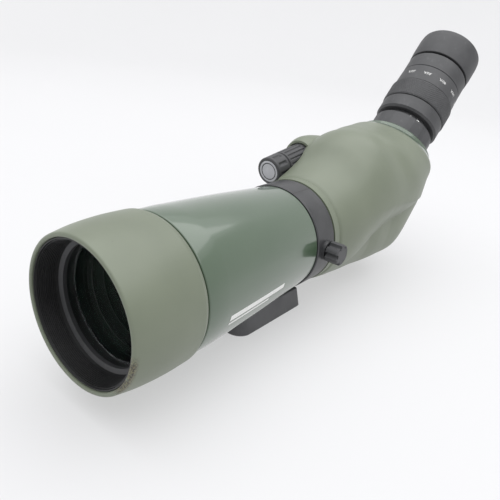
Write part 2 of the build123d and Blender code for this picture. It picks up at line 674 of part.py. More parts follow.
carriage_rear = plate_front - CARRIAGE_TRAVEL - 1.0
carriage_front = carriage_rear - CARRIAGE_LENGTH
nut_length = 6.0
with BuildPart() as lens_carriage:
    disc(MAIN, carriage_front, carriage_rear, FOCUS_LENS_R + 4.0)
    rod_boss_r = ROD_R + 2.2
    bosses = (
        ((ROD_X, -ROD_DROP), rod_boss_r), ((-ROD_X, -ROD_DROP), rod_boss_r),
        ((-FOCUS_X, screw_rise), SCREW_R + 2.0),
    )
    for anchor, boss_r in bosses:
        with BuildSketch(across(MAIN, carriage_rear - nut_length)):
            Circle(5.0)
            with Locations(anchor):
                Circle(boss_r)
            make_hull()
        extrude(amount=nut_length)
    disc(MAIN, carriage_front, carriage_rear, FOCUS_LENS_R, Mode.SUBTRACT)
    ring(MAIN, carriage_rear - 1.2, carriage_rear, FOCUS_LENS_R - 1.2, FOCUS_LENS_R)
    disc(SCREW, carriage_front, carriage_rear, SCREW_R + RUN, Mode.SUBTRACT)
    with BuildSketch(across(MAIN, carriage_front)):
        with Locations((ROD_X, -ROD_DROP), (-ROD_X, -ROD_DROP)):
            Circle(ROD_R + RUN)
    extrude(amount=CARRIAGE_LENGTH, mode=Mode.SUBTRACT)

with BuildPart() as focusing_lens:
    lens(MAIN, carriage_rear - 5.2, carriage_rear - 1.2, FOCUS_LENS_R, -1.0, -0.8)

brace_rear = carriage_front - CARRIAGE_TRAVEL - 1.0
brace_front = brace_rear - 2.5
brace_r = ROD_X + ROD_R + 4.0
with BuildPart() as guide_rods:
    with BuildSketch(across(MAIN, brace_front)):
        with Locations((ROD_X, -ROD_DROP), (-ROD_X, -ROD_DROP)):
            Circle(ROD_R)
    extrude(amount=prism_front - 0.2 - brace_front)

with BuildPart() as rod_brace:
    ring(MAIN, brace_front, brace_rear, FOCUS_LENS_R + 2.0, brace_r)
    with BuildSketch(across(MAIN, brace_front)):
        with Locations((ROD_X, -ROD_DROP), (-ROD_X, -ROD_DROP)):
            Circle(ROD_R)
    extrude(amount=brace_rear - brace_front, mode=Mode.SUBTRACT)

# ================================================================ eyepiece
collar_start = port_face + FACE_GAP
collar_stop = port_neck_end + FACE_GAP
with BuildPart() as eyepiece_lock_collar:
    turned(EYE, (
        (collar_start, PORT_NECK_R + RUN), (collar_start, LOCK_COLLAR_R - 1.4),
        (collar_start + 2.0, LOCK_COLLAR_R), (collar_stop - 1.0, LOCK_COLLAR_R),
        (collar_stop, LOCK_COLLAR_R - 0.8), (collar_stop, PORT_NECK_R + RUN),
    ))
    with BuildSketch(across(EYE, collar_start)):
        RegularPolygon(LOCK_COLLAR_R - 0.4, 12, major_radius=False)
    extrude(amount=LOCK_COLLAR_LENGTH, mode=Mode.INTERSECT)

flange_front = collar_stop + FACE_GAP
body_front = flange_front + 3.6
with BuildPart() as nosepiece:
    ring(EYE, port_flange + 3.0, flange_front, nose_bore, NOSE_R)
    ring(EYE, flange_front, body_front, nose_bore, FLANGE_R)

base_front = body_front + 0.2
base_rear = base_front + BASE_RING_LENGTH
zoom_front = base_rear + FACE_GAP
grip_rear = zoom_front + GRIP_LENGTH
number_front = grip_rear + 0.2
number_rear = number_front + NUMBER_LENGTH
upper_front = number_rear + FACE_GAP
upper_rear = upper_front + UPPER_RING_LENGTH
cup_front = upper_rear + CUP_GAP
cup_rear = cup_front + EYECUP_LENGTH
body_bore = BODY_R - BODY_WALL
guide_rear = cup_front + 16.0
eye_seat = guide_rear - 6.5
with BuildPart() as eyepiece_body:
    ring(EYE, body_front, body_front + 3.0, nose_bore, BODY_R)
    ring(EYE, body_front + 3.0, upper_rear + 1.0, body_bore, BODY_R)
    ring(EYE, upper_rear - 1.0, guide_rear, GUIDE_R - 3.0, GUIDE_R)
    ring(EYE, eye_seat - 1.5, eye_seat, EYE_LENS_R - 1.2, GUIDE_R)
    ring(EYE, eye_seat, guide_rear, EYE_LENS_R, GUIDE_R)

with BuildPart() as eye_lens:
    lens(EYE, eye_seat, eye_seat + 5.0, EYE_LENS_R, 1.0, 1.2)

with BuildPart() as eye_lens_ring:
    ring(EYE, eye_seat + 5.0, guide_rear, EYE_LENS_R - 1.2, EYE_LENS_R)

with BuildPart() as field_lens:
    lens(EYE, body_front + 3.0, body_front + 7.0, body_bore, -0.8, 1.6)

with BuildPart() as base_ring:
    turned(EYE, (
        (base_front, BODY_R), (base_front, BASE_RING_R - 1.6), (base_front + 1.6, BASE_RING_R),
        (base_rear - 0.4, BASE_RING_R), (base_rear, BASE_RING_R - 0.4), (base_rear, BODY_R),
    ))

with BuildPart() as zoom_ring:
    ring(EYE, zoom_front, number_rear, zoom_bore, zoom_r)

with BuildPart() as zoom_grip:
    turned(EYE, (
        (zoom_front, zoom_r), (zoom_front, BASE_RING_R), (zoom_front + 1.0, ZOOM_GRIP_R - 0.2),
        (zoom_front + GRIP_LENGTH / 2, ZOOM_GRIP_R), (grip_rear - 1.0, ZOOM_GRIP_R - 0.3),
        (grip_rear, ZOOM_GRIP_R - 1.0), (grip_rear, zoom_r),
    ))

with BuildPart() as number_ring:
    turned(EYE, (
        (number_front, zoom_r), (number_front, ZOOM_GRIP_R - 1.1), (number_rear - 0.3, UPPER_RING_R + 0.1),
        (number_rear, UPPER_RING_R - 0.2), (number_rear, zoom_r),
    ))

with BuildPart() as upper_ring:
    turned(EYE, (
        (upper_front, BODY_R), (upper_front, UPPER_RING_R - 0.2), (upper_front + 0.3, UPPER_RING_R),
        (upper_rear - 0.8, UPPER_RING_R), (upper_rear, UPPER_RING_R - 0.8), (upper_rear, BODY_R),
    ))

cell_r = body_bore - RUN
cell_length = 10.0
variator_front = body_front + 15.0
compensator_front = upper_rear - 19.0
with BuildPart() as variator_cell:
    ring(EYE, variator_front, variator_front + cell_length, ZOOM_LENS_R, cell_r)
with BuildPart() as variator_lens:
    lens(EYE, variator_front + 3.0, variator_front + 7.0, ZOOM_LENS_R, -0.8, -0.8)
with BuildPart() as compensator_cell:
    ring(EYE, compensator_front, compensator_front + cell_length, ZOOM_LENS_R, cell_r)
with BuildPart() as compensator_lens:
    lens(EYE, compensator_front + 2.5, compensator_front + 7.5, ZOOM_LENS_R, 1.0, 1.0)

# twist-up eyecup: the helicoid sleeve lifts on the guide while the cup turns around it
helicoid_bore = GUIDE_R + RUN
helicoid_r = helicoid_bore + HELICOID_WALL
core_bore = helicoid_r + RUN
core_r = core_bore + 1.9
with BuildPart() as helicoid_sleeve:
    ring(EYE, cup_front - 0.8, cup_front + 14.0, helicoid_bore, helicoid_r)

core_top = cup_rear - 5.0
with BuildPart() as eyecup_core:
    ring(EYE, cup_front + 0.4, core_top, core_bore, core_r)
    ring(EYE, core_top - 2.0, core_top, EYE_LENS_R + 1.5, core_bore)

with BuildPart() as eyecup_rubber:
    turned(EYE, (
        (cup_front, core_r), (cup_front, EYECUP_R - 0.9), (cup_front + 0.5, EYECUP_R - 0.6),
        (cup_rear - 9.0, EYECUP_R), (cup_rear - 2.6, EYECUP_R - 0.7), (cup_rear - 0.7, EYECUP_R - 1.6),
        (cup_rear, EYECUP_R - 3.0), (cup_rear - 0.5, EYECUP_R - 4.6), (cup_rear - 2.0, EYECUP_R - 5.4),
        (core_top, EYECUP_R - 5.6), (core_top, core_r),
    ))

# ================================================================ write every piece
PIECES = {
    "sunshade_sleeve": sunshade_sleeve,
    "sunshade_felt": sunshade_felt,
    "sunshade_armour": sunshade_armour,
    "objective_barrel": objective_barrel,
    "retaining_ring": retaining_ring,
    "front_element": front_element,
    "element_spacer": element_spacer,
    "rear_element": rear_element,
    "baffle_rings": baffle_rings,
    "main_tube": main_tube,
    "tripod_collar": tripod_collar,
    "collar_liner": collar_liner,
    "foot": foot,
    "foot_screws": foot_screws,
    "tripod_bush": tripod_bush,
    "lock_screw": lock_screw,
    "lock_knob": lock_knob,
    "housing_armour": housing_armour,
    "prism_housing": prism_housing,
    "neck_screws": neck_screws,
    "focus_bushing": focus_bushing,
    "roof_prism": roof_prism,
    "prism_pads": prism_pads,
    "prism_cage": prism_cage,
    "cage_screws": cage_screws,
    "eyepiece_port": eyepiece_port,
    "fine_knob": fine_knob,
    "knob_disc": knob_disc,
    "coarse_knob": coarse_knob,
    "focus_spindle": focus_spindle,
    "lead_screw": lead_screw,
    "lens_carriage": lens_carriage,
    "focusing_lens": focusing_lens,
    "guide_rods": guide_rods,
    "rod_brace": rod_brace,
    "eyepiece_lock_collar": eyepiece_lock_collar,
    "nosepiece": nosepiece,
    "eyepiece_body": eyepiece_body,
    "eye_lens": eye_lens,
    "eye_lens_ring": eye_lens_ring,
    "field_lens": field_lens,
    "base_ring": base_ring,
    "zoom_ring": zoom_ring,
    "zoom_grip": zoom_grip,
    "number_ring": number_ring,
    "upper_ring": upper_ring,
    "variator_cell": variator_cell,
    "variator_lens": variator_lens,
    "compensator_cell": compensator_cell,
    "compensator_lens": compensator_lens,
    "helicoid_sleeve": helicoid_sleeve,
    "eyecup_core": eyecup_core,
    "eyecup_rubber": eyecup_rubber,
}
os.makedirs("parts", exist_ok=True)
for name, piece in PIECES.items():
    piece.part.label = name
    export_step(piece.part, f"parts/{name}.step")
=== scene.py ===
"""Looks of a zoom spotting scope with an angled eyepiece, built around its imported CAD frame."""

import json
from math import cos, pi, radians, sin, tan

import bmesh
import bpy
from mathutils import Matrix, Vector


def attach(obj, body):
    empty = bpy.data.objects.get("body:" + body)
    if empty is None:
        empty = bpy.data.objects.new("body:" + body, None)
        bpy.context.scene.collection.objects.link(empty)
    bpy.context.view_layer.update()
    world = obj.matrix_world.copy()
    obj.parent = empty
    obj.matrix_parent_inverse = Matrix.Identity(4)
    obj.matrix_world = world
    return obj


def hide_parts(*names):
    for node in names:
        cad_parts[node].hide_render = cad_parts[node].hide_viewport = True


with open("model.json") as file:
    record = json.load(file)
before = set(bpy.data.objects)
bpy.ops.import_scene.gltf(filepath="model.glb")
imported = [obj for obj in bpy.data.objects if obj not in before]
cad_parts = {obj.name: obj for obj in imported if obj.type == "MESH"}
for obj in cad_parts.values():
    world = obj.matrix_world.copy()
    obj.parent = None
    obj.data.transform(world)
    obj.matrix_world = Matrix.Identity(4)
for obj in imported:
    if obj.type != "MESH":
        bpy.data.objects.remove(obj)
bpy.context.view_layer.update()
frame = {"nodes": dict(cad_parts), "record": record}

# ================================================================ sizes, in millimetres
MM = 0.001
AXIS_HEIGHT = 57.0
EYEPIECE_LEAN = 45.0
HOOD_LENGTH = 46.2
HOOD_RIM_R = 41.0
HOOD_BELLY_R = 43.8
HOOD_REAR_R = 42.2
RIB_ANGLE = 165.0
HOOD_BORE_R = 38.7
SLEEVE_R = 40.0
SLEEVE_REAR = HOOD_LENGTH - 2.4
TUBE_FRONT = 47.2
TUBE_FRONT_R = 41.9
TUBE_REAR_R = 35.7
TUBE_WALL = 2.2
TUBE_WAIST = TUBE_FRONT + 14.2
TUBE_BULGE = 0.5
BARREL_R = 38.4
JOURNAL_R = 31.5
JOURNAL_BORE_R = 29.2
TUBE_SHOULDER = 156.5
COLLAR_FRONT = 156.9
COLLAR_REAR = 176.9
COLLAR_R = 36.6
SEAM_ANGLE = 74.0
HOUSING_FRONT = 177.3
JOURNAL_REAR = HOUSING_FRONT + 10.0
NECK_R = 37.0
NECK_LENGTH = 6.5
ARMOUR_WALL = 1.4
CASTING_WALL = 2.2
ENAMEL_STATION = 53.5
CROSSING = 103.3
CROSSING_STATION = HOUSING_FRONT + CROSSING
PORT_STATION = 60.0
PORT_R = 34.4
SOCKET_STATION = 149.3
FOCUS_X = -32.0
FOCUS_RISE = 33.4
FOCUS_SETBACK = 8.9
FOCUS_TILT = 8.6
KNOB_R = 10.2
KNOB_RECESS_R = 11.2
RECESS_LEAD = 6.0
FINE_LENGTH = 14.0
COARSE_LENGTH = 26.5
COARSE_FRONT = FINE_LENGTH + 0.4
RECESS_REAR = FINE_LENGTH + COARSE_LENGTH + 2.0
LOCK_ANGLE = 3.4
LOCK_FRONT = COLLAR_R + 2.6
LOCK_LENGTH = 9.6
LOCK_KNOB_R = 7.2
COLLAR_MIDDLE = (COLLAR_FRONT + COLLAR_REAR) / 2
ZOOM_R = 25.95
ZOOM_FRONT = 98.5
GRIP_REAR = 116.1
ZOOM_GRIP_R = 29.0
STUDDED_LENGTH = 15.6
STUDS_SETBACK = 0.9
NUMBER_STATION = 124.3
LOCK_COLLAR_STOP = 80.9
CUP_FRONT = 148.6
CUP_REAR = 174.8
CUP_R = 28.2
CORE_R = 25.4
CORE_TOP = 173.7


class Line:
    """An axis of the scope: places and directions from a station along it, a radius and an angle."""

    def __init__(self, origin, along, side=(1, 0, 0)):
        self.origin = Vector(origin)
        self.along = Vector(along).normalized()
        self.side = Vector(side).normalized()
        self.up = self.side.cross(self.along)

    def outwards(self, angle):
        return self.side * cos(radians(angle)) + self.up * sin(radians(angle))

    def at(self, station, radius=0.0, angle=0.0):
        return (self.origin + self.along * station + self.outwards(angle) * radius) * MM

    def matrix(self, station=0.0):
        """Turns a shape made about its own Z into one about this axis."""
        turn = Matrix((self.side, self.up, self.along)).transposed()
        if turn.determinant() < 0:
            turn = Matrix((self.side, -self.up, self.along)).transposed()
        return Matrix.Translation(self.at(station)) @ turn.to_4x4()


def spot(x, station, rise=0.0):
    """A place from its side offset, its station on the optical axis and its rise above it."""
    return Vector((x, station - SOCKET_STATION, AXIS_HEIGHT + rise))


def heading(lean):
    return Vector((0, cos(radians(lean)), sin(radians(lean))))


MAIN = Line(spot(0, 0), heading(0))
EYE = Line(spot(0, CROSSING_STATION), heading(EYEPIECE_LEAN))
FOCUS = Line(spot(FOCUS_X, HOUSING_FRONT + FOCUS_SETBACK, FOCUS_RISE), heading(FOCUS_TILT))
LOCK = Line(
    spot(0, COLLAR_MIDDLE), (cos(radians(LOCK_ANGLE)), 0, sin(radians(LOCK_ANGLE))), side=(0, 1, 0)
)


# ================================================================ shader maths
class Sock:
    """A shader socket that takes part in Python expressions."""

    def __init__(self, tree, output):
        self.tree = tree
        self.output = output

    def maths(self, operation, first, second=None):
        node = self.tree.nodes.new("ShaderNodeMath")
        node.operation = operation
        for slot, value in zip(node.inputs, (first, second)):
            if isinstance(value, Sock):
                self.tree.links.new(value.output, slot)
            elif value is not None:
                slot.default_value = value
        return Sock(self.tree, node.outputs[0])

    def by(self, operation, other=None):
        """This value put through one of the maths node's operations, with another if it takes two."""
        return self.maths(operation, self, other)

    def __add__(self, other):
        return self.by("ADD", other)

    def __radd__(self, other):
        return self.maths("ADD", other, self)

    def __sub__(self, other):
        return self.by("SUBTRACT", other)

    def __rsub__(self, other):
        return self.maths("SUBTRACT", other, self)

    def __mul__(self, other):
        return self.by("MULTIPLY", other)

    def __rmul__(self, other):
        return self.maths("MULTIPLY", other, self)

    def __truediv__(self, other):
        return self.by("DIVIDE", other)

    def __abs__(self):
        return self.by("ABSOLUTE")

    def within(self, low, high):
        """0 below low, 1 above high, and straight between them."""
        node = self.tree.nodes.new("ShaderNodeMapRange")
        self.tree.links.new(self.output, node.inputs["Value"])
        node.inputs["From Min"].default_value = low
        node.inputs["From Max"].default_value = high
        return Sock(self.tree, node.outputs["Result"])


class Nodes:
    """Whatever owns a node tree and adds nodes to it."""

    def node(self, kind, settings=(), output=0, **values):
        """Any node: its settings first, then the values or links of its sockets."""
        node = self.tree.nodes.new(kind)
        for key, value in dict(settings).items():
            setattr(node, key, value)
        for key, value in values.items():
            numbered = key[1:].isdigit()
            slot = node.inputs[int(key[1:]) if numbered else key.replace("_", " ")]
            if isinstance(value, Sock):
                self.tree.links.new(value.output, slot)
            else:
                slot.default_value = value
        return Sock(self.tree, node.outputs[output])


class Finish(Nodes):
    """One procedural material: constants go on the shader, and varying values come from its nodes."""

    def __init__(self, name, **constants):
        self.material = bpy.data.materials.new(name)
        self.material.use_nodes = True
        self.tree = self.material.node_tree
        self.shader = self.tree.nodes["Principled BSDF"]
        for socket, value in constants.items():
            self.shader.inputs[socket.replace("_", " ")].default_value = value
        self.position = self.node("ShaderNodeTexCoord", output="Object")

    def noise(self, size, detail=2.0, stretch=None, soft=0.5):
        """Noise whose features are about that many millimetres across."""
        place = self.position
        if stretch:
            place = self.node("ShaderNodeMapping", Vector=place, Scale=stretch)
        return self.node(
            "ShaderNodeTexNoise", Vector=place, Scale=1 / (size * MM), Detail=detail, Roughness=soft
        )

    def blend(self, share, first, second):
        """A colour between two; each is a colour or a socket."""
        first, second = ((*c, 1) if isinstance(c, tuple) else c for c in (first, second))
        return self.node("ShaderNodeMix", {"data_type": "RGBA"}, output=2, _0=share, _6=first, _7=second)

    def set(self, socket, value):
        self.tree.links.new(value.output, self.shader.inputs[socket])

    def bump(self, height, depth, strength=1.0):
        """Relief of a height from 0 to 1, that many millimetres deep."""
        relief = self.node("ShaderNodeBump", Height=height, Distance=depth * MM, Strength=strength)
        self.set("Normal", relief)

    def axes(self, line):
        """Distance along an axis, sideways of it and up from it, in millimetres, as sockets."""
        moved = self.node(
            "ShaderNodeVectorMath", {"operation": "SUBTRACT"}, _0=self.position, _1=line.origin * MM
        )
        return [
            self.node("ShaderNodeVectorMath", {"operation": "DOT_PRODUCT"}, output=1, _0=moved, _1=d / MM)
            for d in (line.along, line.side, line.up)
        ]


# ================================================================ finishes
def moulded_rubber(name, light, deep, lip=False):
    """Soft-touch armour: fine grain, cloudy colour, and chips on the lip where it has been knocked."""
    paint = Finish(name, Specular_IOR_Level=0.62, Sheen_Weight=0.06, Sheen_Roughness=0.5)
    clouds = paint.noise(38, 4)
    specks = paint.noise(0.9, 3, soft=0.7)
    colour = paint.blend(clouds.within(0.3, 0.7), light, deep)
    dust = specks.within(0.70, 0.78) * 0.5
    colour = paint.blend(dust, colour, (0.28, 0.30, 0.24))
    grain = paint.noise(0.45, 2)
    height = grain * 0.5
    rough = 0.34 + clouds * 0.12 + grain * 0.06
    if lip:
        along, side, up = paint.axes(MAIN)
        # the knocked stretch of the lip runs down from just below the user's left
        knocked = (1 - along.within(1.2, 3.4)) * side.within(22, 30)
        knocked = knocked * (1 - up.within(-6, 0)) * up.within(-29, -24)
        flakes = paint.noise(2.0, 5, soft=0.75)
        chip = knocked * flakes.within(0.40, 0.43)
        dirt = paint.noise(0.8, 3)
        chip_colour = paint.blend(dirt.within(0.42, 0.6), (0.018, 0.014, 0.008), (0.15, 0.14, 0.07))
        colour = paint.blend(chip, colour, chip_colour)
        scuffs = paint.noise(2.2, 4, stretch=(1, 0.35, 1))
        scuff = scuffs.within(0.74, 0.77) * 0.4
        colour = paint.blend(scuff, colour, (0.09, 0.10, 0.07))
        height = height - chip * 3.0
    paint.set("Base Color", colour)
    paint.set("Roughness", rough)
    paint.bump(height, 0.05, 0.5)
    return paint.material


def gloss_paint():
    """Clear-coated green enamel with a faint orange peel and dust under the lacquer."""
    paint = Finish("green_enamel", Roughness=0.3, Coat_Weight=1.0, Coat_Roughness=0.10, Coat_IOR=1.5)
    clouds = paint.noise(60, 3)
    dust = paint.noise(0.7, 2, soft=0.6).within(0.76, 0.8) * 0.6
    colour = paint.blend(clouds.within(0.3, 0.7), (0.048, 0.082, 0.046), (0.058, 0.094, 0.054))
    paint.set("Base Color", paint.blend(dust, colour, (0.30, 0.34, 0.30)))
    paint.set("Roughness", 0.24 + clouds * 0.1)
    paint.bump(paint.noise(2.4, 2), 0.012, 0.35)
    return paint.material


def satin_black(name, shade=0.030, rough=0.38, grain=0.35, seam=False):
    """Black anodised or moulded part: fine grain, faint rub marks, slightly worn colour."""
    black = Finish(name, Specular_IOR_Level=0.5)
    clouds = black.noise(14, 4)
    rub = black.noise(3.0, 4, stretch=(1, 1, 0.2)).within(0.60, 0.75)
    dark = (shade * 0.85, shade * 0.87, shade * 0.92)
    light = (shade * 1.35, shade * 1.36, shade * 1.42)
    colour = black.blend(clouds.within(0.3, 0.7), dark, light)
    colour = black.blend(rub * 0.35, colour, (shade * 2.2, shade * 2.2, shade * 2.3))
    height = black.noise(grain, 2) * 0.6
    if seam:
        along, side, up = black.axes(MAIN)
        angle = radians(SEAM_ANGLE)
        off_line = abs(side * sin(angle) - up * cos(angle))
        line = (1 - off_line.within(0.12, 0.28)) * up.within(20, 22)
        colour = black.blend(line, colour, (0.004, 0.004, 0.004))
        height = height - line * 6.0
    black.set("Base Color", colour)
    black.set("Roughness", rough + clouds * 0.12 - rub * 0.06)
    black.bump(height, 0.03, 0.4)
    return black.material


def metal(name, colour, rough, brushed=(1, 1, 1)):
    """Bare metal with fine turning marks."""
    bare = Finish(name, Metallic=1.0)
    marks = bare.noise(0.6, 3, stretch=brushed)
    stain = bare.noise(5, 4)
    darker = tuple(c * 0.7 for c in colour)
    bare.set("Base Color", bare.blend(stain.within(0.35, 0.7), colour, darker))
    bare.set("Roughness", rough + marks * 0.12)
    bare.bump(marks, 0.01, 0.3)
    return bare.material


def coated_glass(name, tint, clear):
    """Multi-coated glass: mostly see-through, with a coloured sheen that grows at the edge."""
    glass = Finish(name, Roughness=0.02, Specular_IOR_Level=0.35, Coat_Weight=0.3, Coat_Roughness=0.01)
    edge = glass.node("ShaderNodeLayerWeight", output="Facing", Blend=0.25)
    smears = glass.noise(9, 4)
    glass.set("Base Color", glass.blend(smears, tint, tuple(c * 0.6 for c in tint)))
    glass.set("Alpha", clear + edge * 0.05 + smears.within(0.55, 0.8) * 0.01)
    return glass.material


def fibre(name, light, dark, size):
    """Felt, cork and other loose stuff."""
    loose = Finish(name, Roughness=0.9, Sheen_Weight=0.3)
    hair = loose.noise(size, 5, soft=0.7)
    loose.set("Base Color", loose.blend(hair.within(0.3, 0.7), light, dark))
    loose.bump(hair, 0.2, 0.8)
    return loose.material


SAGE_LIGHT = (0.146, 0.168, 0.117)
SAGE_DEEP = (0.127, 0.148, 0.102)
finishes = {
    "armour_rubber": moulded_rubber("sage_rubber", SAGE_LIGHT, SAGE_DEEP),
    "tube_paint": gloss_paint(),
    "black_anodised": satin_black("black_anodised", 0.036),
    "black_plastic": satin_black("black_plastic", 0.042, 0.42, 0.3),
    "black_rubber": satin_black("black_rubber", 0.040, 0.46, 0.5),
    "interior_black": satin_black("interior_black", 0.010, 0.45, 0.2),
    "casting": metal("die_cast_alloy", (0.42, 0.42, 0.43), 0.45),
    "steel": metal("steel", (0.55, 0.55, 0.56), 0.28),
    "brass": metal("brass", (0.60, 0.46, 0.20), 0.25),
    "coated_glass": coated_glass("coated_glass", (0.02, 0.05, 0.035), 0.03),
    "prism_glass": coated_glass("prism_glass", (0.30, 0.34, 0.33), 0.5),
    "felt": fibre("felt", (0.03, 0.03, 0.03), (0.012, 0.012, 0.012), 0.4),
    "nylon": fibre("nylon", (0.55, 0.54, 0.50), (0.46, 0.45, 0.41), 2.0),
    "cork": fibre("cork", (0.42, 0.27, 0.14), (0.24, 0.14, 0.07), 1.2),
    "disc_grey": satin_black("disc_grey", 0.40, 0.35, 0.3),
    "chrome": metal("bright_ring", (0.72, 0.73, 0.74), 0.12),
}
hood_rubber = moulded_rubber("hood_rubber", SAGE_LIGHT, SAGE_DEEP, lip=True)
collar_black = satin_black("collar_black", 0.034, 0.30, 0.4, seam=True)
baffle_grey = satin_black("baffle_grey", 0.040, 0.34, 0.2)
foot_black = satin_black("foot_black", 0.055, 0.34, 0.4)


def white_print_and_painted_reflection():
    """Pad-printed white ink, thin in places; the same white also paints the reflection streaks on the tube.
    """
    ink_and_painted_reflection = Finish("white_ink_and_painted_reflection", Roughness=0.5)
    thin = ink_and_painted_reflection.noise(0.6, 4)
    ink_and_painted_reflection.set("Base Color", ink_and_painted_reflection.blend(thin.within(0.45, 0.8), (0.78, 0.78, 0.76), (0.50, 0.51, 0.50)))
    ink_and_painted_reflection.bump(thin, 0.01, 0.4)
    return ink_and_painted_reflection.material


# white for the printed numbers and marks, and for the tube's painted reflection streaks
ink_and_painted_reflection = white_print_and_painted_reflection()

# every CAD node takes its slot's finish, unless NODE_FINISH names another
slot_of = {entry["node"]: entry["material_slot"] for entry in frame["record"]["subparts"]}


# ================================================================ mesh helpers
def rounded(corners, steps=4):
    """An outline from (station, radius, rounding) corners, each rounded by an arc."""
    outline = []
    for index, corner in enumerate(corners):
        here = Vector(corner[:2])
        size = corner[2] if len(corner) > 2 else 0
        if not size:
            outline.append(tuple(here))
            continue
        before = (Vector(corners[index - 1][:2]) - here).normalized()
        after = (Vector(corners[(index + 1) % len(corners)][:2]) - here).normalized()
        opening = before.angle(after)
        reach = size / tan(opening / 2)
        middle = here + (before + after).normalized() * (size / sin(opening / 2))
        start, stop = here + before * reach - middle, here + after * reach - middle
        for step in range(steps + 1):
            outline.append(tuple(middle + start.slerp(stop, step / steps, start).normalized() * size))
    return outline


def bowed(points, steps):
    """A smooth run through (station, radius) points."""
    run = []
    ends = [points[0], *points, points[-1]]
    for a, b, c, d in zip(ends, ends[1:], ends[2:], ends[3:]):
        for step in range(steps):
            t = step / steps
            place = []
            for p, q, r, s in zip(a, b, c, d):
                squared = (2 * p - 5 * q + 4 * r - s) * t**2
                cubed = (3 * q - p - 3 * r + s) * t**3
                place.append(0.5 * (2 * q + (r - p) * t + squared + cubed))
            run.append(tuple(place))
    return [*run, tuple(points[-1])]


def piece(name, mesh, body, slot, material, *nodes, sharp=32):
    """A finished piece that rides on a body and may stand for CAD nodes."""
    made = bpy.data.objects.new(name, mesh)
    bpy.context.scene.collection.objects.link(made)
    mesh.materials.clear()
    mesh.materials.append(material)
    mesh.polygons.foreach_set("use_smooth", [True] * len(mesh.polygons))
    mesh.set_sharp_from_angle(angle=radians(sharp))
    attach(made, body)
    if nodes:
        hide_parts(*nodes)
    return made


def grid_mesh(name, rings, close_rings=False, caps=False):
    """Faces between rings of points; the rings themselves are closed."""
    sheet = bmesh.new()
    rows = [[sheet.verts.new(p) for p in ring] for ring in rings]
    pairs = list(zip(rows, rows[1:]))
    if close_rings:
        pairs.append((rows[-1], rows[0]))
    for low, high in pairs:
        for index in range(len(low)):
            following = (index + 1) % len(low)
            sheet.faces.new((low[index], low[following], high[following], high[index]))
    if caps:
        sheet.faces.new(rows[0])
        sheet.faces.new(rows[-1])
    bmesh.ops.remove_doubles(sheet, verts=sheet.verts, dist=1e-7)
    bmesh.ops.recalc_face_normals(sheet, faces=sheet.faces)
    mesh = bpy.data.meshes.new(name)
    sheet.to_mesh(mesh)
    sheet.free()
    return mesh


def turned(name, line, outline, segments=168):
    """A closed (station, radius) outline turned about an axis."""
    rings = [[line.at(s, r, 360 * k / segments) for k in range(segments)] for s, r in outline]
    return grid_mesh(name, rings, close_rings=True)


def joined(name, *meshes):
    """Several meshes as one."""
    whole = bmesh.new()
    for part in meshes:
        whole.from_mesh(part)
    mesh = bpy.data.meshes.new(name)
    whole.to_mesh(mesh)
    whole.free()
    return mesh


def evaluated(made):
    """The plain mesh of an object once its modifiers have run; the object is removed."""
    bpy.context.view_layer.update()
    graph = bpy.context.evaluated_depsgraph_get()
    mesh = bpy.data.meshes.new_from_object(made.evaluated_get(graph))
    bpy.data.objects.remove(made)
    return mesh


def holder(name, mesh=None):
    made = bpy.data.objects.new(name, mesh or bpy.data.meshes.new(name))
    bpy.context.scene.collection.objects.link(made)
    return made


# ================================================================ node trees for what repeats
class Tree(Nodes):
    """A geometry node tree with named inputs, built a node at a time."""

    def __init__(self, name, **inputs):
        self.tree = bpy.data.node_groups.new(name, "GeometryNodeTree")
        self.sockets = {}
        for key, value in inputs.items():
            kind = "NodeSocketInt" if isinstance(value, int) else "NodeSocketFloat"
            made = self.tree.interface.new_socket(key, in_out="INPUT", socket_type=kind)
            made.default_value = value
            self.sockets[key] = made.identifier
        self.finish_socket = self.tree.interface.new_socket(
            "Finish", in_out="INPUT", socket_type="NodeSocketMaterial"
        ).identifier
        self.tree.interface.new_socket("Geometry", in_out="OUTPUT", socket_type="NodeSocketGeometry")
        self.entry = self.tree.nodes.new("NodeGroupInput")

    def given(self, key):
        return Sock(self.tree, self.entry.outputs[key])

    def vector(self, x=0.0, y=0.0, z=0.0):
        return self.node("ShaderNodeCombineXYZ", X=x, Y=y, Z=z)

    def close(self, geometry):
        real = self.node("GeometryNodeRealizeInstances", Geometry=geometry)
        dressed = self.node("GeometryNodeSetMaterial", Geometry=real, Material=self.given("Finish"))
        out = self.tree.nodes.new("NodeGroupOutput")
        self.tree.links.new(dressed.output, out.inputs[0])

    def grow(self, name, material, placing, **sizes):
        """The tree's mesh for these sizes, moved to its place."""
        made = holder(name)
        modifier = made.modifiers.new("build", "NODES")
        modifier.node_group = self.tree
        for key, value in sizes.items():
            modifier[self.sockets[key]] = value
        modifier[self.finish_socket] = material
        mesh = evaluated(made)
        mesh.transform(placing)
        return mesh


RUN_OUT = 0.0012    # length over which a flute fades into the knob's end, in metres


